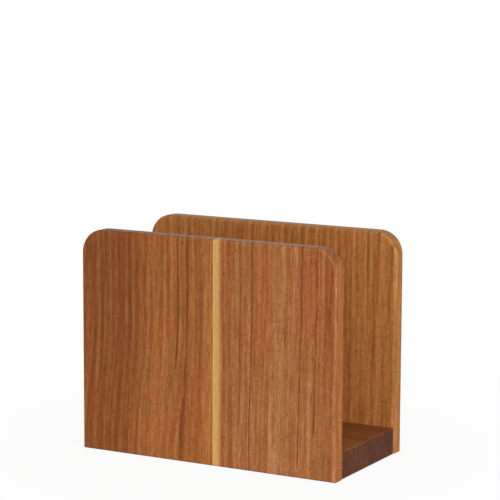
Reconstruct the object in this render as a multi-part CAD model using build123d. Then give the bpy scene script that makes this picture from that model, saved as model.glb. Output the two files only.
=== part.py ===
from build123d import *
import os

# A wooden mail organizer: two upright panels with rounded shoulders stand against the long
# sides of a thick base board and leave a channel between them, open above and at both ends.
# Millimetres. +X runs to the right along the panels, the front panel faces -Y, +Z is up, and
# the origin is under the middle of the organizer, on the plane it stands on.

# Panels
WIDTH = 190.0             # along the channel, the same for both panels and the base
HEIGHT = 150.0
PANEL_THICKNESS = 12.0
SHOULDER_RADIUS = 16.0    # the two top corners of each panel
PANEL_ARRIS = 2.0         # roundover run around both faces of a panel

# Each panel is two boards glued edge to edge; these are the places of the glue lines along X
FRONT_GLUE_LINE = 6.0
BACK_GLUE_LINE = -10.0

# Base
CHANNEL = 76.0            # clear space between the panels, filled below by the base board
BASE_THICKNESS = 18.0
BASE_ARRIS = 0.8          # eased edges around the two end faces of the base

# Dowel joints between the base and the panels
DOWEL_DIAMETER = 6.0
DOWEL_LENGTH = 25.0
DOWEL_IN_PANEL = 8.0      # the share of the length that stands in the panel
DOWEL_COUNT = 4           # in each joint
DOWEL_PITCH = 48.0
DOWEL_CHAMFER = 0.8
FLUTE_COUNT = 8           # straight right-angled grooves that let the glue and the air out
FLUTE_DEPTH = 0.35
BORE_CLEARANCE = 0.05     # on the radius, for the glue
BORE_END_GAP = 0.5        # left between each end of a dowel and the bottom of its bore
BORE_COUNTERSINK = 0.4    # small cone at each bore mouth that takes the squeezed-out glue

# What follows from the sizes above
DOWEL_RADIUS = DOWEL_DIAMETER / 2
BORE_RADIUS = DOWEL_RADIUS + BORE_CLEARANCE
PANEL_BORE_DEPTH = DOWEL_IN_PANEL + BORE_END_GAP
BASE_BORE_DEPTH = DOWEL_LENGTH - DOWEL_IN_PANEL + BORE_END_GAP
DOWEL_HEIGHT = BASE_THICKNESS / 2
FRONT_JOINT = Pos(0, -CHANNEL / 2, 0)
BACK_JOINT = Pos(0, CHANNEL / 2, 0) * Rot(0, 0, 180)


def dowel_places():
    """Places of the dowel axes in one joint, on the plane where base and panel meet."""
    first = -(DOWEL_COUNT - 1) * DOWEL_PITCH / 2
    return [Pos(first + number * DOWEL_PITCH, 0, DOWEL_HEIGHT) for number in range(DOWEL_COUNT)]


def bores(depth, into):
    """Blind bores from the joint plane; into is -1 towards the panel and +1 towards the base."""
    turn = Rot(90, 0, 0) if into < 0 else Rot(-90, 0, 0)
    hole = Cylinder(BORE_RADIUS, depth, align=(Align.CENTER, Align.CENTER, Align.MIN))
    mouth = Cone(
        BORE_RADIUS + BORE_COUNTERSINK,
        BORE_RADIUS,
        BORE_COUNTERSINK,
        align=(Align.CENTER, Align.CENTER, Align.MIN),
    )
    tool = turn * (hole + mouth)
    return [place * tool for place in dowel_places()]


def fluted_dowel():
    """One dowel pin along Z from its panel end at zero: chamfered ends and straight flutes."""
    side = FLUTE_DEPTH * 2**0.5
    section = Circle(DOWEL_RADIUS)
    for rim in PolarLocations(DOWEL_RADIUS, FLUTE_COUNT):
        section -= rim * Rectangle(side, side, rotation=45)
    stock = extrude(section, amount=DOWEL_LENGTH)
    turned = Cylinder(DOWEL_RADIUS, DOWEL_LENGTH, align=(Align.CENTER, Align.CENTER, Align.MIN))
    turned = chamfer(turned.edges().filter_by(GeomType.CIRCLE), DOWEL_CHAMFER)
    return stock & turned


def joint_dowels():
    """The dowels of one joint, standing in the panel by their share and in the base by the rest."""
    pin = Pos(0, -DOWEL_IN_PANEL, 0) * Rot(-90, 0, 0) * fluted_dowel()
    return [place * pin for place in dowel_places()]


def panel():
    """One glued-up panel with its inner face on the joint plane, y = 0, and its back to -Y."""
    outline = Pos(0, HEIGHT / 2) * Rectangle(WIDTH, HEIGHT)
    shoulders = outline.vertices().group_by(Axis.Y)[-1]
    outline = fillet(shoulders, SHOULDER_RADIUS)
    blank = extrude(Plane.XZ * outline, amount=PANEL_THICKNESS)
    blank = fillet(blank.faces().filter_by(Axis.Y).edges(), PANEL_ARRIS)
    return blank - bores(PANEL_BORE_DEPTH, -1)


def sawn_at(solid, glue_line):
    """The two boards on the left and right of a glue line across X."""
    cut = Plane.YZ.offset(glue_line)
    left = split(solid, bisect_by=cut, keep=Keep.BOTTOM)
    right = split(solid, bisect_by=cut, keep=Keep.TOP)
    return left, right


def base_board():
    """The board between the panels, bored from both long sides, flush with their ends."""
    board = Box(WIDTH, CHANNEL, BASE_THICKNESS, align=(Align.CENTER, Align.CENTER, Align.MIN))
    board = fillet(board.faces().filter_by(Axis.X).edges(), BASE_ARRIS)
    for joint in (FRONT_JOINT, BACK_JOINT):
        board -= [joint * bore for bore in bores(BASE_BORE_DEPTH, +1)]
    return board


def save(name, solids):
    """Write one node: a single solid, or a group of separate ones."""
    group = solids if isinstance(solids, list) else [solids]
    pieces = [solid for shape in group for solid in shape.solids()]
    shape = pieces[0] if len(pieces) == 1 else Compound(children=pieces)
    shape.label = name
    export_step(shape, f"parts/{name}.step")
    print(f"{name}: {len(pieces)} solid(s), {sum(piece.volume for piece in pieces):.0f} mm3")


os.makedirs("parts", exist_ok=True)

front_left, front_right = sawn_at(FRONT_JOINT * panel(), FRONT_GLUE_LINE)
back_left, back_right = sawn_at(BACK_JOINT * panel(), BACK_GLUE_LINE)

save("front_left_board", front_left)
save("front_right_board", front_right)
save("back_left_board", back_left)
save("back_right_board", back_right)
save("base_board", base_board())
save("front_dowels", [FRONT_JOINT * dowel for dowel in joint_dowels()])
save("back_dowels", [BACK_JOINT * dowel for dowel in joint_dowels()])
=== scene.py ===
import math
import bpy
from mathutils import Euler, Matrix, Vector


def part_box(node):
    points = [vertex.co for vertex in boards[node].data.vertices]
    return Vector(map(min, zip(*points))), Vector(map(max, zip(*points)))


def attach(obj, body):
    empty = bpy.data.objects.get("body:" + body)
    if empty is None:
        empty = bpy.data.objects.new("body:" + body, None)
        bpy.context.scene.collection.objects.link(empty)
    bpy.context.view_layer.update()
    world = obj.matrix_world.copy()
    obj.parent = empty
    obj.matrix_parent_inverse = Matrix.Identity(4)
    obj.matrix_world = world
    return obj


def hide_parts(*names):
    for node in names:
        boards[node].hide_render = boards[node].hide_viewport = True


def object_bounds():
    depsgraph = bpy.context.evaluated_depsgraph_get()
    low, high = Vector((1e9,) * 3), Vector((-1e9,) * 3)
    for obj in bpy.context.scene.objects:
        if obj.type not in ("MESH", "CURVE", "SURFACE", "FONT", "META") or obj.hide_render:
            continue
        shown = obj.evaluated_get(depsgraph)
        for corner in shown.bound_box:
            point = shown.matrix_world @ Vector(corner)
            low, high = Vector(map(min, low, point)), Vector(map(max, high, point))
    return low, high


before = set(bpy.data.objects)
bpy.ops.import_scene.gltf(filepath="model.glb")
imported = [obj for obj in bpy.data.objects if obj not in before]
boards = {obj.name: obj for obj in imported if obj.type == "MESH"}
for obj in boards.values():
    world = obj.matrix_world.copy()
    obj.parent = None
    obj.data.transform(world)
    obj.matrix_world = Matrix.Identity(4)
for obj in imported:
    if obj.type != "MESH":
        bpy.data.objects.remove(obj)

# %% [markdown]
# # A wooden mail organizer, from bare boards to an oiled finish
#
# The real thing is two upright panels on a thick base board. Each panel is glued up from two
# boards, its top corners are rounded, and every arris is eased. The boards arrive here in their
# true shape and place, so this lesson is about what the eye reads as solid wood: grain that runs
# right through each board, pale sapwood, thirsty end grain and a thin film of oil. It ends with
# the fluted dowels that hold the joints.
#
# The first step only measures, so that later steps can follow the boards and not bare numbers.

MM = 0.001
cad_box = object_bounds()
glue_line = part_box("front_left_board")[1].x
panel_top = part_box("front_left_board")[1].z
front_face = cad_box[0][1]
back_face = cad_box[1][1]
base_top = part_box("base_board")[1].z
print("Organizer box in mm:", [[round(v / MM, 1) for v in corner] for corner in cad_box])
print("Front glue line at x =", round(glue_line / MM, 2), "mm")
print("Base board is", round(base_top / MM, 2), "mm thick")

# %% [markdown]
# ## The camera
#
# A product photograph is taken with a long lens from well back, so that upright edges stay
# nearly parallel. The camera stands to the front right and a little above the organizer. It
# could be aimed with a constraint, but turning it by three angles keeps each one readable.

# %% Place the camera
CAMERA_PLACE = Vector((0.6680, -1.2012, 0.3426))
CAMERA_AZIMUTH = 28.869
CAMERA_ELEVATION = 8.539
CAMERA_ROLL = 0.25
LENS_MM = 150.1
SENSOR_MM = 36.0

camera_data = bpy.data.cameras.new("camera")
camera_data.lens = LENS_MM
camera_data.sensor_width = SENSOR_MM
camera = bpy.data.objects.new("camera", camera_data)
camera.matrix_world = (
    Matrix.Translation(CAMERA_PLACE)
    @ Matrix.Rotation(math.radians(CAMERA_AZIMUTH), 4, "Z")
    @ Matrix.Rotation(math.radians(90 - CAMERA_ELEVATION), 4, "X")
    @ Matrix.Rotation(math.radians(CAMERA_ROLL), 4, "Z")
)
bpy.context.scene.collection.objects.link(camera)
bpy.context.scene.camera = camera
bpy.context.scene.view_settings.view_transform = "Standard"
print("Camera is", round(CAMERA_PLACE.length, 2), "m from the organizer")

# %% [markdown]
# ## Helpers for wiring nodes
#
# Materials are drawn as nodes and wires. Writing each node in four lines would bury the idea, so
# `put` adds a node, sets it up and wires its inputs, `calc` does one sum with a Math node,
# `swing` centres a noise, which runs from 0 to 1, on nothing, and `between` fades from one value
# to another.

# %% Helpers for any node tree
def put(tree, kind, inputs=None, **settings):
    """Add a node; a socket given as an input is wired, any other value is set."""
    node = tree.nodes.new(kind)
    for name, value in settings.items():
        setattr(node, name, value)
    for name, value in (inputs or {}).items():
        if isinstance(value, bpy.types.NodeSocket):
            tree.links.new(value, node.inputs[name])
        else:
            node.inputs[name].default_value = value
    return node


def calc(tree, operation, *values):
    """One Math node; returns its output socket."""
    return put(tree, "ShaderNodeMath", dict(enumerate(values)), operation=operation).outputs[0]


def swing(tree, value, amount):
    """A noise centred on nothing and scaled."""
    return calc(tree, "MULTIPLY", calc(tree, "SUBTRACT", value, 0.5), amount)


def between(tree, value, low, high, start=0.0, end=1.0):
    """Start below low, end above high, and a smooth climb between."""
    inputs = {"Value": value, "From Min": low, "From Max": high, "To Min": start, "To Max": end}
    return put(tree, "ShaderNodeMapRange", inputs, interpolation_type="SMOOTHSTEP").outputs[0]


print("Helpers:", ", ".join(helper.__name__ for helper in (put, calc, swing, between)))

# %% [markdown]
# ## Light and background
#
# The organizer stands on white in soft daylight. The world gives the fill: brighter from the
# front right and dimmer from behind, so that the far arrises stay darker. The background has to
# be white without pouring more light on the wood. A brighter world would do both, so the Light
# Path node shows the white world only to the camera and to mirrored or transmitted rays.

# %% Daylight from all around
BRIGHT_SIDE = Vector((0.55, -0.80, 0.25)).normalized()
DIM_LEVEL = 0.06
BRIGHT_LEVEL = 0.56
DAYLIGHT = (1.0, 0.985, 0.965, 1.0)
WHITE = (1.0, 1.0, 1.0, 1.0)


def straight_or_mirrored(tree):
    """1 for rays that come straight, mirrored or through glass from the camera, else 0."""
    rays = put(tree, "ShaderNodeLightPath").outputs
    bounced = calc(tree, "MAXIMUM", rays["Is Glossy Ray"], rays["Is Transmission Ray"])
    return calc(tree, "MAXIMUM", rays["Is Camera Ray"], bounced)


world = bpy.data.worlds.new("soft daylight")
bpy.context.scene.world = world
world.use_nodes = True
sky = world.node_tree
sky.nodes.clear()
looking = put(sky, "ShaderNodeTexCoord").outputs["Generated"]
towards = put(sky, "ShaderNodeVectorMath", {0: looking, 1: BRIGHT_SIDE}, operation="DOT_PRODUCT")
level = put(sky, "ShaderNodeMapRange", {
    "Value": towards.outputs["Value"],
    "From Min": -1.0,
    "From Max": 1.0,
    "To Min": DIM_LEVEL,
    "To Max": BRIGHT_LEVEL,
})
fill = put(sky, "ShaderNodeBackground", {"Color": DAYLIGHT, "Strength": level.outputs[0]})
white = put(sky, "ShaderNodeBackground", {"Color": WHITE, "Strength": 1.0})
inputs = {0: straight_or_mirrored(sky), 1: fill.outputs[0], 2: white.outputs[0]}
sky_mix = put(sky, "ShaderNodeMixShader", inputs)
put(sky, "ShaderNodeOutputWorld", {"Surface": sky_mix.outputs[0]})
print("World light runs from", DIM_LEVEL, "behind to", BRIGHT_LEVEL, "in front")

# %% [markdown]
# One large square lamp shapes the wood, like a window. It stands at the front right, halfway
# between what the front faces and what the ends of the boards face. So the rounded arris between
# the two catches the most light, and the arrises that turn away on the far left and far right
# stay dark and draw the outline. A large lamp close by gives soft shadows, where a sun lamp would
# cut hard ones, and its mirror image in the oil stays dim, because the light is spread over a
# wide pane.
#
# A much weaker one behind on the left is the daylight that a pale wall throws back. It shows the
# back panel from behind, and its light that glances off the tops gives them their pale line.

# %% A window at the front right and a pale wall behind
LAMP_SIZE = 2.2
WINDOW_PLACE = (1.72, -1.68, 0.95)
WINDOW_WATTS = 62
WALL_PLACE = (-1.3, 2.0, 0.9)
WALL_WATTS = 16


def add_lamp(name, place, aim, watts):
    """A square area lamp that looks from its place to its aim."""
    data = bpy.data.lights.new(name, "AREA")
    data.size = LAMP_SIZE
    data.energy = watts
    lamp = bpy.data.objects.new(name, data)
    sight = aim - Vector(place)
    turn = sight.to_track_quat("-Z", "Y")
    lamp.matrix_world = Matrix.Translation(place) @ turn.to_matrix().to_4x4()
    bpy.context.scene.collection.objects.link(lamp)
    print(name, "is", round(sight.length, 2), "m away with", watts, "W")


middle = Vector((0, 0, panel_top / 2))
add_lamp("window", WINDOW_PLACE, middle, WINDOW_WATTS)
add_lamp("pale wall", WALL_PLACE, middle, WALL_WATTS)

# %% [markdown]
# ## The floor
#
# A sheet of white paper. Plain white paint renders grey wherever a lamp is far, so the camera is
# shown mostly an even white, and only a share of the lit paper, which keeps the soft shadow where
# the organizer stands. Away from the organizer the share falls to nothing.

# %% Lay a white paper floor
FLOOR_REACH = 4.0
PAPER = (0.86, 0.86, 0.86, 1.0)
SHADOW_SHARE = 0.08       # of the lit paper, where the organizer stands
SHADOW_FADE = (0.10, 0.34)  # how far out in metres it starts to fade, and where it is gone
floor_mesh = bpy.data.meshes.new("floor")
corners = [(x * FLOOR_REACH, y * FLOOR_REACH, 0) for x, y in ((-1, -1), (1, -1), (1, 1), (-1, 1))]
floor_mesh.from_pydata(corners, [], [(0, 1, 2, 3)])
floor = bpy.data.objects.new("floor", floor_mesh)
bpy.context.scene.collection.objects.link(floor)

paper = bpy.data.materials.new("white_paper")
paper.use_nodes = True
sheet = paper.node_tree
sheet.nodes.clear()
lit = put(sheet, "ShaderNodeBsdfDiffuse", {"Color": PAPER})
even = put(sheet, "ShaderNodeEmission", {"Color": WHITE, "Strength": 1.0})
spot = put(sheet, "ShaderNodeTexCoord").outputs["Object"]
away = put(sheet, "ShaderNodeVectorMath", {0: spot}, operation="LENGTH").outputs["Value"]
evenness = between(sheet, away, *SHADOW_FADE, 1.0 - SHADOW_SHARE, 1.0)
shown = calc(sheet, "MULTIPLY", evenness, straight_or_mirrored(sheet))
floor_mix = put(sheet, "ShaderNodeMixShader", {0: shown, 1: lit.outputs[0], 2: even.outputs[0]})
put(sheet, "ShaderNodeOutputMaterial", {"Surface": floor_mix.outputs[0]})
floor_mesh.materials.append(paper)
print("Floor is", 2 * FLOOR_REACH, "m wide")

# %% [markdown]
# ## Wood that runs through the board
#
# A picture of grain pasted on each face would not meet at the corners. Solid wood is one pattern
# in space that the saw cuts open, so the pattern here is worked out from each point's own place.
# It is made of shader node groups, built once and placed in every board with its own numbers.
#
# All of them stretch noise along the grain. `drawn_noise` takes the size of one mark across,
# through and along the grain, as you would measure it on the board with a rule.

# %% Helpers for shader groups
SOCKET_KINDS = {"value": "NodeSocketFloat", "vector": "NodeSocketVector"}
NOISE_ROUGHNESS = 0.55


def new_group(name, inputs, outputs):
    """An empty shader group; returns the group, what it is given and what it puts out."""
    group = bpy.data.node_groups.new(name, "ShaderNodeTree")
    sockets = group.interface
    for label, (kind, value) in inputs.items():
        socket = sockets.new_socket(name=label, in_out="INPUT", socket_type=SOCKET_KINDS[kind])
        if value is not None:
            socket.default_value = value
    for label in outputs:
        sockets.new_socket(name=label, in_out="OUTPUT", socket_type=SOCKET_KINDS["value"])
    given = group.nodes.new("NodeGroupInput").outputs
    out = group.nodes.new("NodeGroupOutput").inputs
    return group, given, out


def drawn_noise(tree, place, mark_mm, seed, detail=1.0):
    """Noise whose marks have the given size in millimetres across, through and along the grain."""
    scaled = [calc(tree, "DIVIDE", distance, size * MM) for distance, size in zip(place, mark_mm)]
    spot = put(tree, "ShaderNodeCombineXYZ", dict(enumerate(scaled))).outputs[0]
    inputs = {"Vector": spot, "W": seed, "Scale": 1.0, "Detail": detail}
    inputs["Roughness"] = NOISE_ROUGHNESS
    return put(tree, "ShaderNodeTexNoise", inputs, noise_dimensions="4D").outputs[0]


print("Groups are given and put out:", ", ".join(SOCKET_KINDS))

# %% [markdown]
# ### How far across the rings
#
# Growth rings are sheets that stand along the stem. On the face of a board they show as lines, so
# the first group finds how far a point lies across them. It starts with the distance along the
# face. The stem leans near its foot, so lines drift sideways low on the board, and less so near
# the glued edge. A slow wander keeps them from being ruled, and the rings slant through the
# thickness of the board, which is what tilts the lines on its ends.

# %% Group: ring distance
STRAIGHT_TO = 33 * MM     # how far from the glued edge the lean is less than full
WANDER_MARK = (70.0, 70.0, 90.0)
WANDER_SWING = 4.0        # brings the noise, which seldom strays far from 0.5, to full width


def make_ring_distance():
    """The distance across the rings, bent, wandering and slanted as in a real stem."""
    inputs = {
        "Vector": ("vector", None),
        "Face": ("value", 0.0),
        "Slant": ("value", 0.4),
        "Lean": ("value", 0.0),
        "Lean From": ("value", 0.0),
        "Lean Height": ("value", 110 * MM),
        "Wander": ("value", 1 * MM),
        "Seed": ("value", 0.0),
    }
    group, given, out = new_group("ring distance", inputs, ["Across"])
    x, y, z = put(group, "ShaderNodeSeparateXYZ", {0: given["Vector"]}).outputs
    bend = between(group, z, 0.0, given["Lean Height"], 1.0, 0.0)
    apart = calc(group, "ABSOLUTE", calc(group, "SUBTRACT", x, given["Lean From"]))
    free = between(group, apart, 0.0, STRAIGHT_TO)
    lean = calc(group, "MULTIPLY", calc(group, "MULTIPLY", bend, free), given["Lean"])
    slow = drawn_noise(group, (x, y, z), WANDER_MARK, given["Seed"])
    wander = calc(group, "MULTIPLY", swing(group, slow, WANDER_SWING), given["Wander"])
    slant = calc(group, "MULTIPLY", calc(group, "SUBTRACT", y, given["Face"]), given["Slant"])
    across = calc(group, "ADD", calc(group, "ADD", x, lean), calc(group, "ADD", wander, slant))
    group.links.new(across, out["Across"])
    return group


ring_distance = make_ring_distance()
print("Made group:", ring_distance.name)

# %% [markdown]
# ### The layers of the figure
#
# The second group draws everything that follows the rings. Broad bands and patches of warmer
# colour come from slow years and fast ones. Streaks, fibres and flecks are the same idea at
# smaller and smaller sizes, so one table holds them. Left alone, the streaks would also add up to
# cloudy blotches. So theirs is the difference between two samples that lie a little apart: what
# both share drops out, and the streaks stay.
#
# The rings themselves are counted. The part of a ring that is left over climbs slowly to the dark
# late wood and drops at its edge, and each ring gets a strength of its own, because even lines
# would look printed. Pores are small pits, and most of them are in the early wood of a ring.

# %% Group: wood figure
LAYERS = {
    # name: size of one mark in mm across, through and along the grain; octaves; shift of the
    # seed; how far apart in mm the two samples lie whose difference is taken, or 0 for one
    "Bands": ((24.0, 125.0, 450.0), 1.0, 0.0, 0.0),
    "Warmth": ((13.0, 120.0, 280.0), 2.0, 31.0, 0.0),
    "Streaks": ((3.0, 10.0, 120.0), 3.0, 7.7, 2.4),
    "Fibres": ((0.8, 1.4, 12.0), 1.0, 12.4, 0.0),
    "Flecks": ((0.7, 0.7, 1.6), 0.0, 17.3, 0.0),
}
UNEVEN_MARK = (14.0, 200.0, 330.0)
UNEVEN_SEED = 4.4
UNEVEN_RINGS = 7.0        # from how far behind to how far ahead the count can run, in rings
LATE_WOOD_CLIMB = 4.0     # the higher, the later and the steeper
LATE_WOOD_END = 0.88      # part of a ring after which the late wood drops
WEAKEST_RING = 0.2
SELDOM_STRONG = 2.0       # the higher, the fewer rings come out strong
PORE_MARK = (0.75, 0.75, 3.0)
PORE_SEED = 21.9
PORE_LEVELS = (0.58, 0.72)
PORES_LOST = 0.7          # share of their depth that pores have lost by the late wood


def make_wood_figure():
    """Every layer of the figure, the rings and the pores, each from 0 to 1."""
    inputs = {
        "Vector": ("vector", None),
        "Across": ("value", 0.0),
        "Ring Spacing": ("value", 2.4 * MM),
        "Seed": ("value", 0.0),
    }
    group, given, out = new_group("wood figure", inputs, [*LAYERS, "Rings", "Pores"])
    x, y, z = put(group, "ShaderNodeSeparateXYZ", {0: given["Vector"]}).outputs
    place = (given["Across"], y, z)
    for name, (mark_mm, detail, shift, apart_mm) in LAYERS.items():
        own_seed = calc(group, "ADD", given["Seed"], shift)
        layer = drawn_noise(group, place, mark_mm, own_seed, detail)
        if apart_mm:
            beside = (calc(group, "ADD", given["Across"], apart_mm * MM), y, z)
            other = drawn_noise(group, beside, mark_mm, own_seed, detail)
            layer = calc(group, "ADD", calc(group, "SUBTRACT", layer, other), 0.5)
        group.links.new(layer, out[name])

    uneven_seed = calc(group, "ADD", given["Seed"], UNEVEN_SEED)
    uneven = drawn_noise(group, place, UNEVEN_MARK, uneven_seed, detail=2.0)
    count = calc(group, "DIVIDE", given["Across"], given["Ring Spacing"])
    count = calc(group, "ADD", count, swing(group, uneven, UNEVEN_RINGS))
    part = calc(group, "FRACT", count)
    number = calc(group, "ADD", calc(group, "FLOOR", count), given["Seed"])
    dice = put(group, "ShaderNodeTexWhiteNoise", {"W": number}, noise_dimensions="1D")
    chance = calc(group, "POWER", dice.outputs["Value"], SELDOM_STRONG)
    strength = calc(group, "MULTIPLY_ADD", chance, 1.0 - WEAKEST_RING, WEAKEST_RING)
    climb = calc(group, "POWER", part, LATE_WOOD_CLIMB)
    late_wood = calc(group, "MULTIPLY", climb, between(group, part, LATE_WOOD_END, 1.0, 1.0, 0.0))
    group.links.new(calc(group, "MULTIPLY", late_wood, strength), out["Rings"])

    pits = drawn_noise(group, place, PORE_MARK, calc(group, "ADD", given["Seed"], PORE_SEED))
    early_wood = calc(group, "SUBTRACT", 1.0, calc(group, "MULTIPLY", part, PORES_LOST))
    pores = calc(group, "MULTIPLY", between(group, pits, *PORE_LEVELS), early_wood)
    group.links.new(pores, out["Pores"])
    return group


wood_figure = make_wood_figure()
print("Made group:", wood_figure.name, "with", len(wood_figure.nodes), "nodes")

# %% [markdown]
# ### Veins that are no chance
#
# A few lines stand out on the front panel, where the tree laid down colour. Noise would put them
# anywhere, so each has its own place, width and run, measured on the distance across the rings.
# That makes it bend with everything else. A little noise breaks it up along its length.

# %% Group: dark vein
SHAKE_MARK = (8.0, 8.0, 22.0)
SHAKE_SWING = 0.8 * MM    # how far a vein strays from side to side
VEIN_FADE = 3 * MM        # over which a vein starts and ends
VEIN_CORE = 0.2           # share of its half width that is fully dark
BREAK_LEVELS = (0.30, 0.55)  # noise at which a vein is faintest, and at which it is whole
FAINTEST_VEIN = 0.45


def make_dark_vein():
    """One dark line at its own place, 1 in its middle and 0 beside it."""
    inputs = {
        "Across": ("value", 0.0),
        "Height": ("value", 0.0),
        "Place": ("value", 0.0),
        "Width": ("value", 0.6 * MM),
        "From": ("value", 0.0),
        "To": ("value", 150 * MM),
        "Seed": ("value", 0.0),
    }
    group, given, out = new_group("dark vein", inputs, ["Vein"])
    height = given["Height"]
    shake = drawn_noise(group, (given["Across"], 0.0, height), SHAKE_MARK, given["Seed"])
    off = calc(group, "SUBTRACT", given["Across"], given["Place"])
    off = calc(group, "ADD", off, swing(group, shake, SHAKE_SWING))
    widths_off = calc(group, "DIVIDE", calc(group, "ABSOLUTE", off), given["Width"])
    line = between(group, widths_off, VEIN_CORE, 1.0, 1.0, 0.0)
    rise = between(group, calc(group, "SUBTRACT", height, given["From"]), -VEIN_FADE, VEIN_FADE)
    fall = between(group, calc(group, "SUBTRACT", given["To"], height), -VEIN_FADE, VEIN_FADE)
    broken = between(group, shake, *BREAK_LEVELS, FAINTEST_VEIN, 1.0)
    run = calc(group, "MULTIPLY", calc(group, "MULTIPLY", rise, fall), broken)
    group.links.new(calc(group, "MULTIPLY", line, run), out["Vein"])
    return group


dark_vein = make_dark_vein()
print("Made group:", dark_vein.name)

# %% [markdown]
# ### Which way the wood was cut
#
# On top of a panel and at both ends of the base the fibres are cut across. Such end grain drinks
# the oil: it turns darker, and less of a shining film is left on it. The narrow edges drink some
# of theirs. The rounded arrises get a painted highlight, a paler tint that stands for the light
# they catch. The surface knows which way it faces, so one group turns that into three masks, and
# each board tints and oils itself by them.

# %% Group: cut direction
# how squarely a surface faces along the grain, or sideways, where its mask starts and is full
END_GRAIN_TILTS = (0.50, 0.95)
EDGE_TILTS = (0.60, 0.98)


def make_cut_direction():
    """Masks for end grain, narrow edges and arrises, from the direction the surface faces."""
    inputs = {"Normal": ("vector", None)}
    group, given, out = new_group("cut direction", inputs, ["End Grain", "Edge", "Painted Arris Highlight"])
    normal = put(group, "ShaderNodeSeparateXYZ", {0: given["Normal"]}).outputs
    x, y, z = [calc(group, "ABSOLUTE", part) for part in normal]
    group.links.new(between(group, z, *END_GRAIN_TILTS), out["End Grain"])
    group.links.new(between(group, x, *EDGE_TILTS), out["Edge"])
    # this mask only places a painted highlight: arrises are tinted paler, as if catching the
    # lamp's light
    # y is 1 on a face and 0 on an edge, so 1 - (2y - 1)^2 is full halfway round the arris
    tilt = calc(group, "SUBTRACT", calc(group, "MULTIPLY", y, 2.0), 1.0)
    arris = calc(group, "SUBTRACT", 1.0, calc(group, "MULTIPLY", tilt, tilt))
    group.links.new(arris, out["Painted Arris Highlight"])
    return group


cut_direction = make_cut_direction()
print("Made group:", cut_direction.name)

# %% [markdown]
# ## One finish for every board
#
# The boards are the same wood under the same oil, cut from different places in the log. So a few
# functions wire the groups into a material, and each board brings its own numbers. Colours are
# written as they are read off a screen, and `rgb` turns them into the values a shader needs.

# %% Helpers for the materials
def rgb(red, green, blue):
    """A screen colour from 0 to 255 as a linear colour."""
    shares = [v / 255 for v in (red, green, blue)]
    linear = [v / 12.92 if v <= 0.04045 else ((v + 0.055) / 1.055) ** 2.4 for v in shares]
    return (*linear, 1.0)


def blend(tree, factor, first, second, mode="MIX"):
    """Mix two colours; returns the colour socket."""
    inputs = {0: factor, 6: first, 7: second}
    return put(tree, "ShaderNodeMix", inputs, data_type="RGBA", blend_type=mode).outputs[2]


def use(tree, group, inputs):
    """Place a shader group in a material and wire its inputs; returns what it puts out."""
    return put(tree, "ShaderNodeGroup", inputs, node_tree=group).outputs


print("A middle brown is", [round(value, 3) for value in rgb(150, 90, 45)], "to a shader")

# %% [markdown]
# Each board differs from the next in how its rings lie, how pale it is and how much oil it took.
# This table holds what an ordinary board has, and every board names only what it has of its own.
# A function with twenty arguments would do the same, but in a table each can carry a remark.

# %% What a board may have of its own
WEIGHTS = {"Bands": 0.10, "Streaks": 0.72, "Fibres": 0.54, "Flecks": 0.38}
END_TINT = (0.90, 0.92, 0.70, 1.0)
EDGE_TINT = (1.07, 1.03, 0.86, 1.0)
ORDINARY_BOARD = {
    "turn": Euler((0, 0, 0)),   # brings the grain upright, along Z
    "face": 0.0,                # the place in the thickness where the slant starts
    "slant": 0.4,               # shift of the rings for each step into the thickness
    "ring_mm": 2.4,             # from ring to ring
    "lean_mm": 0.0,             # drift of the grain at the foot
    "lean_height_mm": 110.0,    # where the drift has died out
    "wander_mm": 1.0,
    "level": 0.56,              # tone between dark, 0, and pale, 1
    # painted light: a paler foot stands for light that falls more strongly low on the panel
    "foot": 0.0,                # how much paler the foot is
    "weights": WEIGHTS,         # how strongly each layer of the figure shows
    "veins": (),
    "bands": (),
    "sapwood_mm": 0.0,
    "end_tint": END_TINT,       # multiplies the colour of end grain
    "edge_tint": EDGE_TINT,
    "oil": 0.5,                 # film of oil left on a face
    "end_oil": 0.20,            # and on end grain and narrow edges
}
print("A board may have its own", ", ".join(ORDINARY_BOARD))

# %% [markdown]
# The figure comes first: the groups are placed, and the pattern is turned so that its grain runs
# the way the board was cut.

# %% The figure of a board
def board_figure(tree, where, seed, own):
    """Place the groups that draw the figure; returns its layers and the height in the grain."""
    vector = put(tree, "ShaderNodeMapping", {"Vector": where, "Rotation": own["turn"]}).outputs[0]
    across = use(tree, ring_distance, {
        "Vector": vector,
        "Face": own["face"],
        "Slant": own["slant"],
        "Lean": own["lean_mm"] * MM,
        "Lean From": glue_line,
        "Lean Height": own["lean_height_mm"] * MM,
        "Wander": own["wander_mm"] * MM,
        "Seed": seed,
    })["Across"]
    figure = use(tree, wood_figure, {
        "Vector": vector,
        "Across": across,
        "Ring Spacing": own["ring_mm"] * MM,
        "Seed": seed,
    })
    height = put(tree, "ShaderNodeSeparateXYZ", {0: vector}).outputs["Z"]
    return {"Across": across, "Height": height, **{layer.name: layer for layer in figure}}


print("The figure has", len(LAYERS) + 2, "layers")

# %% [markdown]
# The layers are added up to one tone, from dark to pale, and only then a colour ramp turns the
# tone into wood colours. Adding tones and colouring once keeps the layers in one family of
# browns. A board starts from its own level, which may rise towards its foot: that rise is painted
# light, a paler lower part that stands for light falling more strongly there. Its bands are broad
# stripes that the tree laid down, and each shifts the tone and the warmth around one place.
#
# Warm and cool patches then tint the result, because a ramp alone gives only one line of colours.

# %% Tone and colour of the wood
TONE_PLACES = (0.14, 0.42, 0.60, 0.86)
RING_DEPTH = 0.24
PORE_DEPTH = 0.26
RED_SIDE = (1.02, 0.955, 0.94, 1.0)
GOLD_SIDE = (0.99, 1.035, 1.01, 1.0)
WARMTH_LEVELS = (0.34, 0.66)
BAND_EDGE = (0.7, 1.3)    # where a band starts to fade and where it is gone, in half widths


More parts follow.
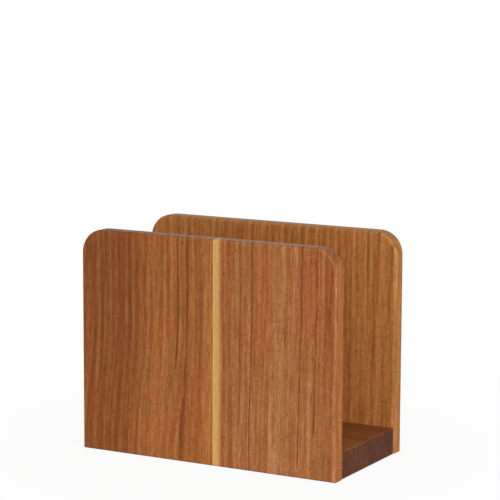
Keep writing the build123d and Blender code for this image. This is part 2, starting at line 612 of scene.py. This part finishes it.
def wood_tone(tree, layers, seed, own):
    """All layers added up to one value from dark to pale."""
    level = own["level"]
    # painted light: the tone rises towards the foot, as if the lower part were lit more strongly
    tone = between(tree, layers["Height"], 0.0, panel_top, level + own["foot"], level)
    for name, weight in own["weights"].items():
        tone = calc(tree, "ADD", tone, swing(tree, layers[name], weight))
    for name, depth in (("Rings", RING_DEPTH), ("Pores", PORE_DEPTH)):
        tone = calc(tree, "SUBTRACT", tone, calc(tree, "MULTIPLY", layers[name], depth))
    for number, (place, width, depth, low, high) in enumerate(own["veins"]):
        vein = use(tree, dark_vein, {
            "Across": layers["Across"],
            "Height": layers["Height"],
            "Place": place * MM,
            "Width": width * MM,
            "From": low * MM,
            "To": high * MM,
            "Seed": seed + number,
        })["Vein"]
        tone = calc(tree, "SUBTRACT", tone, calc(tree, "MULTIPLY", vein, depth))
    return tone


def add_bands(tree, layers, tone, bands):
    """Broad bands, each paler or darker and more golden or redder; returns tone and warmth."""
    warmth = layers["Warmth"]
    for place, half_width, paler, golden in bands:
        off = calc(tree, "ABSOLUTE", calc(tree, "SUBTRACT", layers["Across"], place * MM))
        edge = [share * half_width * MM for share in BAND_EDGE]
        band = between(tree, off, *edge, 1.0, 0.0)
        tone = calc(tree, "MULTIPLY_ADD", band, paler, tone)
        warmth = calc(tree, "MULTIPLY_ADD", band, golden, warmth)
    return tone, warmth


def wood_colour(tree, tone, warmth, tones):
    """The tone through a ramp of wood colours, tinted by the patches of warmth."""
    ramp = put(tree, "ShaderNodeValToRGB", {"Fac": tone})
    stops = ramp.color_ramp.elements
    while len(stops) < len(TONE_PLACES):
        stops.new(0.5)
    for stop, position, colour in zip(stops, TONE_PLACES, tones):
        stop.position = position
        stop.color = colour
    tint = blend(tree, between(tree, warmth, *WARMTH_LEVELS), RED_SIDE, GOLD_SIDE)
    return blend(tree, 1.0, ramp.outputs["Color"], tint, "MULTIPLY")


print("Rings darken the tone by", RING_DEPTH, "and pores by", PORE_DEPTH)

# %% [markdown]
# Sapwood is the young outer wood of the tree. On this panel it survives as a pale strip along the
# glued edge. It starts dead sharp at the glue line and ends ragged where the heartwood begins.

# %% Sapwood
SAPWOOD = rgb(213, 163, 98)
RAGGED = 2 * MM           # how far the streaks move the inner border to and fro
SAPWOOD_BORDER = (0.68, 1.42)  # where it starts to fade and where it is gone, in widths
SAPWOOD_TONES = (0.30, 0.70)   # the tones of the board that give the darkest and palest
SAPWOOD_SHADES = (0.84, 1.05)
INNER_SHADE = 0.80        # how the inner side of the strip is toned down
INNER_SIDE = (0.3, 1.2)   # from and to where, in widths


def add_sapwood(tree, colour, layers, tone, start, width):
    """Pale wood from a glue line on, which fades into the colour given."""
    depth = calc(tree, "SUBTRACT", layers["Across"], start)
    ragged = calc(tree, "ADD", depth, swing(tree, layers["Streaks"], RAGGED))
    border = [share * width for share in SAPWOOD_BORDER]
    pale = between(tree, ragged, *border, 1.0, 0.0)
    grain = between(tree, tone, *SAPWOOD_TONES, *SAPWOOD_SHADES)
    inner = [share * width for share in INNER_SIDE]
    shade = calc(tree, "MULTIPLY", grain, between(tree, depth, *inner, 1.0, INNER_SHADE))
    inputs = {0: SAPWOOD[:3], "Scale": shade}
    sap = put(tree, "ShaderNodeVectorMath", inputs, operation="SCALE").outputs[0]
    return blend(tree, pale, colour, sap)


print("Sapwood colour:", [round(value, 3) for value in SAPWOOD[:3]])

# %% [markdown]
# Now the whole material. Bare wood is matt, so the shader's own mirroring is turned off, and the
# film of oil on top, its coat, does all of it: weak and soft on the faces, and weaker still where
# the wood drank the oil. Fibres and pores give the relief that a fingernail would feel, through a
# Bump node, since real geometry that small would cost millions of faces.

# %% The board material
# painted highlight: the arrises are tinted paler and cooler, standing in for the light they catch
ARRIS_PAINTED_HIGHLIGHT = (1.07, 1.19, 1.42, 1.0)
PORE_RELIEF = 0.06 * MM
FIBRE_RELIEF = 0.6        # as a share of that of the pores
RELIEF_STRENGTH = 0.25
ROUGHNESS = (0.46, 0.60)
OIL_IOR = 1.3
OIL_ROUGHNESS = 0.28


def board_material(name, tones, seed, **changes):
    """An oiled board in four tones, dark to pale; what differs from the ordinary comes by name."""
    own = {**ORDINARY_BOARD, **changes}
    material = bpy.data.materials.new(name)
    material.use_nodes = True
    tree = material.node_tree
    tree.nodes.clear()
    where = put(tree, "ShaderNodeTexCoord").outputs
    layers = board_figure(tree, where["Object"], seed, own)
    tone, warmth = add_bands(tree, layers, wood_tone(tree, layers, seed, own), own["bands"])
    colour = wood_colour(tree, tone, warmth, tones)
    if own["sapwood_mm"]:
        colour = add_sapwood(tree, colour, layers, tone, glue_line, own["sapwood_mm"] * MM)

    inputs = {"Vector": where["Normal"], "Rotation": own["turn"]}
    normal = put(tree, "ShaderNodeMapping", inputs, vector_type="NORMAL").outputs[0]
    cut = use(tree, cut_direction, {"Normal": normal})
    # the end grain and edge tints are the wood's own colour; the arris tint is a painted highlight
    tints = {"End Grain": own["end_tint"], "Edge": own["edge_tint"], "Painted Arris Highlight": ARRIS_PAINTED_HIGHLIGHT}
    for mask, tint in tints.items():
        colour = blend(tree, cut[mask], colour, blend(tree, 1.0, colour, tint, "MULTIPLY"))
    thirsty = calc(tree, "MAXIMUM", cut["End Grain"], cut["Edge"])
    film = calc(tree, "MULTIPLY_ADD", thirsty, own["end_oil"] - own["oil"], own["oil"])

    fibres = calc(tree, "MULTIPLY", layers["Fibres"], FIBRE_RELIEF)
    relief = calc(tree, "SUBTRACT", fibres, layers["Pores"])
    inputs = {"Strength": RELIEF_STRENGTH, "Distance": PORE_RELIEF, "Height": relief}
    surface = put(tree, "ShaderNodeBsdfPrincipled", {
        "Base Color": colour,
        "Roughness": between(tree, layers["Fibres"], 0.0, 1.0, *ROUGHNESS),
        "Normal": put(tree, "ShaderNodeBump", inputs).outputs[0],
        "Specular IOR Level": 0.0,
        "Coat Weight": film,
        "Coat IOR": OIL_IOR,
        "Coat Roughness": OIL_ROUGHNESS,
    })
    put(tree, "ShaderNodeOutputMaterial", {"Surface": surface.outputs[0]})
    return material


def dress(node, material):
    """Give a board its finish."""
    boards[node].data.materials.clear()
    boards[node].data.materials.append(material)
    print(node, "wears", material.name)


print("Roughness runs from", ROUGHNESS[0], "to", ROUGHNESS[1])

# %% [markdown]
# ## The front panel
#
# Its left board is heartwood, darker and redder away from the glue line, and its grain sweeps to
# the left towards the foot. One crisp dark line runs down its upper half, and beside it a broad
# redder one down to the foot.
#
# Each vein is given in mm as its place and half its width, then its depth of tone, and the heights
# where it starts and ends. Each band is given as its place and half its width, and how much paler
# and how much more golden it is.

# %% Left board of the front panel
LEFT_TONES = (rgb(108, 58, 27), rgb(133, 77, 37), rgb(150, 91, 45), rgb(177, 113, 61))
LEFT_VEINS = (
    (-20.2, 0.60, 0.72, 70, 152),
    (-20.3, 1.10, 0.20, 60, 125),
    (-21.8, 1.20, 0.12, 40, 118),
    (-22.4, 0.90, 0.34, 48, 58),
    (-13.1, 2.00, 0.20, -5, 152),
    (-13.1, 2.60, 0.12, -5, 62),
    (-13.3, 0.65, 0.36, 52, 152),
    (-13.3, 0.80, 0.16, 12, 52),
    (-1.0, 0.40, 0.40, 48, 66),
    (-0.6, 0.40, 0.28, 114, 127),
)
LEFT_BANDS = (
    (-80.0, 32.0, -0.15, -0.05),
    (-24.0, 16.0, 0.06, 0.0),
    (-11.0, 8.0, 0.0, -0.16),
    (3.5, 5.0, 0.14, 0.10),
)
# foot gives this board a painted-light paler lower part
left_wood = board_material(
    "front_left_wood", LEFT_TONES, seed=2.0, face=front_face,
    lean_mm=6.5, lean_height_mm=100.0, wander_mm=0.3, level=0.535, foot=0.10,
    veins=LEFT_VEINS, bands=LEFT_BANDS,
)
dress("front_left_board", left_wood)

# %% [markdown]
# The right board is more golden and straighter, with weaker streaks. The pale sapwood is on its
# glued edge, and its dark lines are spread over the whole width.

# %% Right board of the front panel
RIGHT_TONES = (rgb(120, 60, 26), rgb(146, 86, 45), rgb(162, 103, 61), rgb(188, 131, 87))
RIGHT_WEIGHTS = {**WEIGHTS, "Streaks": 0.60}
RIGHT_VEINS = (
    (26.4, 0.70, 0.24, 30, 152),
    (35.0, 0.65, 0.58, -5, 152),
    (47.0, 0.55, 0.22, 50, 125),
    (51.2, 0.50, 0.26, 30, 95),
    (59.2, 0.60, 0.34, 86, 98),
    (71.0, 0.65, 0.42, 10, 152),
    (81.9, 0.60, 0.40, 30, 152),
    (91.0, 2.50, 0.08, 85, 118),
)
RIGHT_BANDS = (
    (16.5, 4.5, -0.04, -0.30),
    (30.0, 3.0, 0.02, 0.14),
    (54.5, 5.0, 0.07, 0.22),
    (76.0, 4.0, 0.0, -0.14),
    (91.5, 4.0, -0.10, 0.12),
)
# foot gives this board a painted-light paler lower part
right_wood = board_material(
    "front_right_wood", RIGHT_TONES, seed=11.0, face=front_face,
    ring_mm=2.1, lean_mm=2.3, lean_height_mm=150.0, wander_mm=0.4, level=0.505, foot=0.09,
    weights=RIGHT_WEIGHTS, veins=RIGHT_VEINS, bands=RIGHT_BANDS, sapwood_mm=5.0,
)
dress("front_right_board", right_wood)

# %% [markdown]
# ## The back panel
#
# The same wood, more golden and plainer, from two more boards, and palest along its narrow ends.
# Its rings slant the other way, since the panel is turned round. One loop makes both boards,
# which differ only in the seed of their figure.

# %% Both boards of the back panel
BACK_TONES = (rgb(110, 63, 29), rgb(150, 93, 46), rgb(170, 109, 58), rgb(192, 130, 74))
BACK_EDGE_TINT = (1.14, 1.27, 1.15, 1.0)
for node, seed in (("back_left_board", 31.0), ("back_right_board", 37.0)):
    back_wood = board_material(
        node.replace("board", "wood"), BACK_TONES, seed, face=back_face,
        slant=-0.4, wander_mm=0.6, edge_tint=BACK_EDGE_TINT,
    )
    dress(node, back_wood)

# %% [markdown]
# ## The base board
#
# It lies flat with its grain along the channel, so its pattern is turned by a quarter until the
# grain points along X. Its rings are wider and its fibres finer to the eye. Both of its ends are
# end grain, the darkest wood on the organizer, and so thirsty that they were oiled twice: they
# keep more of a film than the top does.

# %% Base board
BASE_TONES = (rgb(74, 38, 22), rgb(116, 66, 38), rgb(140, 84, 48), rgb(168, 106, 64))
BASE_WEIGHTS = {**WEIGHTS, "Streaks": 0.60, "Fibres": 0.26, "Flecks": 0.16}
BASE_BANDS = ((-20.0, 13.0, 0.09, 0.34), (32.0, 7.0, -0.05, 0.0))
BASE_END_TINT = (0.37, 0.25, 0.09, 1.0)
GRAIN_ALONG_X = Matrix(((0, 1, 0), (0, 0, 1), (1, 0, 0))).to_euler()
base_wood = board_material(
    "base_wood", BASE_TONES, seed=47.0, face=base_top, turn=GRAIN_ALONG_X, ring_mm=6.5, slant=0.5,
    weights=BASE_WEIGHTS, bands=BASE_BANDS, end_tint=BASE_END_TINT, edge_tint=WHITE,
    oil=0.24, end_oil=0.38,
)
dress("base_board", base_wood)

# %% [markdown]
# ## Dowels
#
# Four beech pins on each side join the base to a panel. A pin is turned with chamfered ends, and
# flutes are pressed along it to let air and spare glue out. Eight equal pins are a case for
# Geometry Nodes: one tree makes the pin from its sizes and repeats it along the joint.
#
# The section is a circle whose points are drawn in at each flute. It is swept along a line of
# four points, and the radius at the first and last of them is smaller, which makes the chamfers.
# Each pin is turned by an angle of its own, as a hand drops them into the bores.

# %% Node tree: fluted dowels
POINTS_PER_FLUTE = 12
FLUTE_SHARPNESS = 8.0     # the higher, the narrower the flutes
DOWEL_SOCKETS = {
    "First Pin": "NodeSocketVector",
    "Count": "NodeSocketInt",
    "Pitch": "NodeSocketFloat",
    "Radius": "NodeSocketFloat",
    "Length": "NodeSocketFloat",
    "Chamfer": "NodeSocketFloat",
    "Flutes": "NodeSocketInt",
    "Flute Depth": "NodeSocketFloat",
    "Seed": "NodeSocketInt",
    "Wood": "NodeSocketMaterial",
}


def fluted_section(tree, given):
    """A closed curve: a circle pressed in at each flute."""
    points = calc(tree, "MULTIPLY", given["Flutes"], POINTS_PER_FLUTE)
    inputs = {"Resolution": points, "Radius": given["Radius"]}
    circle = put(tree, "GeometryNodeCurvePrimitiveCircle", inputs).outputs["Curve"]
    index = put(tree, "GeometryNodeInputIndex").outputs[0]
    wave = calc(tree, "COSINE", calc(tree, "MULTIPLY", index, math.pi / POINTS_PER_FLUTE))
    groove = calc(tree, "POWER", calc(tree, "ABSOLUTE", wave), FLUTE_SHARPNESS)
    pressed = calc(tree, "MULTIPLY", groove, given["Flute Depth"])
    remains = calc(tree, "SUBTRACT", 1.0, calc(tree, "DIVIDE", pressed, given["Radius"]))
    here = put(tree, "GeometryNodeInputPosition").outputs[0]
    inputs = {0: here, "Scale": remains}
    inward = put(tree, "ShaderNodeVectorMath", inputs, operation="SCALE").outputs[0]
    inputs = {"Geometry": circle, "Position": inward}
    return put(tree, "GeometryNodeSetPosition", inputs).outputs["Geometry"]


def chamfered_axis(tree, given):
    """A line of four points along Y whose radius is smaller at both ends."""
    line = put(tree, "GeometryNodeMeshLine", {"Count": 4}, mode="OFFSET").outputs["Mesh"]
    index = put(tree, "GeometryNodeInputIndex").outputs[0]
    # each is 1 from its point on and 0 before it
    second, third, fourth = [calc(tree, "GREATER_THAN", index, step) for step in (0.5, 1.5, 2.5)]
    body = calc(tree, "SUBTRACT", given["Length"], calc(tree, "MULTIPLY", given["Chamfer"], 2.0))
    ends = calc(tree, "MULTIPLY", calc(tree, "ADD", second, fourth), given["Chamfer"])
    along = calc(tree, "ADD", ends, calc(tree, "MULTIPLY", third, body))
    place = put(tree, "ShaderNodeCombineXYZ", {"Y": along}).outputs[0]
    inputs = {"Geometry": line, "Position": place}
    placed = put(tree, "GeometryNodeSetPosition", inputs).outputs["Geometry"]
    curve = put(tree, "GeometryNodeMeshToCurve", {"Mesh": placed}).outputs["Curve"]
    outer = calc(tree, "ADD", calc(tree, "SUBTRACT", 1.0, second), fourth)
    narrow = calc(tree, "DIVIDE", given["Chamfer"], given["Radius"])
    radius = calc(tree, "SUBTRACT", 1.0, calc(tree, "MULTIPLY", outer, narrow))
    inputs = {"Curve": curve, "Radius": radius}
    return put(tree, "GeometryNodeSetCurveRadius", inputs).outputs["Curve"]


print("The dowel tree takes:", ", ".join(DOWEL_SOCKETS))

# %% [markdown]
# The tree itself sweeps the section along the axis, sets a pin on each point of the joint, and
# ends in Realize Instances and Set Material, so that what comes out is one real mesh.

# %% Build the dowel tree
def make_dowel_tree():
    """A Geometry Nodes tree that puts a row of fluted pins where nothing was."""
    tree = bpy.data.node_groups.new("fluted dowels", "GeometryNodeTree")
    for name, kind in DOWEL_SOCKETS.items():
        tree.interface.new_socket(name=name, in_out="INPUT", socket_type=kind)
    tree.interface.new_socket(name="Geometry", in_out="OUTPUT", socket_type="NodeSocketGeometry")
    given = tree.nodes.new("NodeGroupInput").outputs
    out = tree.nodes.new("NodeGroupOutput").inputs
    inputs = {"Curve": chamfered_axis(tree, given), "Profile Curve": fluted_section(tree, given)}
    pin = put(tree, "GeometryNodeCurveToMesh", {**inputs, "Fill Caps": True}).outputs["Mesh"]
    step = put(tree, "ShaderNodeCombineXYZ", {"X": given["Pitch"]}).outputs[0]
    inputs = {"Count": given["Count"], "Start Location": given["First Pin"], "Offset": step}
    places = put(tree, "GeometryNodeMeshLine", inputs, mode="OFFSET").outputs["Mesh"]
    spin = put(tree, "FunctionNodeRandomValue", {"Seed": given["Seed"]}, data_type="FLOAT")
    angle = calc(tree, "MULTIPLY", spin.outputs[1], math.tau)
    turned = put(tree, "ShaderNodeCombineXYZ", {"Y": angle}).outputs[0]
    inputs = {"Points": places, "Instance": pin, "Rotation": turned}
    pins = put(tree, "GeometryNodeInstanceOnPoints", inputs).outputs[0]
    solid = put(tree, "GeometryNodeRealizeInstances", {0: pins}).outputs[0]
    inputs = {"Geometry": solid, "Material": given["Wood"]}
    dressed = put(tree, "GeometryNodeSetMaterial", inputs).outputs[0]
    tree.links.new(dressed, out["Geometry"])
    return tree


dowel_tree = make_dowel_tree()
print("Made tree:", dowel_tree.name, "with", len(dowel_tree.nodes), "nodes")

# %% [markdown]
# Beech is pale, close and even. It gets the same groups as the boards with tight rings, and no
# oil has reached it. Its grain runs along Y, the way the pins lie.

# %% Beech for the pins
BEECH_TONES = (rgb(176, 132, 92), rgb(198, 156, 112), rgb(212, 172, 128), rgb(226, 190, 148))
BEECH_END_TINT = (0.80, 0.76, 0.70, 1.0)
GRAIN_ALONG_Y = Matrix(((1, 0, 0), (0, 0, -1), (0, 1, 0))).to_euler()
beech = board_material(
    "beech", BEECH_TONES, seed=61.0, turn=GRAIN_ALONG_Y, ring_mm=1.3, wander_mm=0.3,
    end_tint=BEECH_END_TINT, edge_tint=WHITE, oil=0.10, end_oil=0.0,
)
print("Made material:", beech.name)

# %% [markdown]
# The places come from the boxes of the two joints. Such a box is a hair narrower than the pins,
# because their flutes lie at its sides, so the width of a pin is given. The modifier's inputs are
# set by their identifiers before anything is evaluated. Then the result is taken as a plain mesh,
# the modifier goes, and so does the empty first material slot that Set Material leaves. The new
# pins stand in for the plain ones.

# %% Set the dowels in both joints
DOWEL_COUNT = 4
DOWEL_RADIUS = 3.0 * MM
DOWEL_CHAMFER = 0.8 * MM
FLUTE_COUNT = 8
FLUTE_DEPTH = 0.35 * MM


def set_dowels(name, node, seed):
    """The pins of one joint, made by the tree in the place of the node that they replace."""
    low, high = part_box(node)
    middle_height = (low.z + high.z) / 2
    to_axis = middle_height - low.z
    values = {
        "First Pin": (low.x + to_axis, low.y, middle_height),
        "Count": DOWEL_COUNT,
        "Pitch": (high.x - low.x - 2 * to_axis) / (DOWEL_COUNT - 1),
        "Radius": DOWEL_RADIUS,
        "Length": high.y - low.y,
        "Chamfer": DOWEL_CHAMFER,
        "Flutes": FLUTE_COUNT,
        "Flute Depth": FLUTE_DEPTH,
        "Seed": seed,
        "Wood": beech,
    }
    pins = bpy.data.objects.new(name, bpy.data.meshes.new(name))
    bpy.context.scene.collection.objects.link(pins)
    modifier = pins.modifiers.new("dowels", "NODES")
    modifier.node_group = dowel_tree
    for socket in dowel_tree.interface.items_tree:
        if socket.in_out == "INPUT":
            modifier[socket.identifier] = values[socket.name]
    evaluated = pins.evaluated_get(bpy.context.evaluated_depsgraph_get())
    pins.data = bpy.data.meshes.new_from_object(evaluated)
    pins.data.name = name
    pins.data.materials.pop(index=0)
    pins.modifiers.clear()
    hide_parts(node)
    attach(pins, "root")
    pitch = round(values["Pitch"] / MM, 2)
    print(name, "has", len(pins.data.polygons), "faces; its pins are", pitch, "mm apart")


set_dowels("front_dowel_pins", "front_dowels", seed=3)
set_dowels("back_dowel_pins", "back_dowels", seed=8)
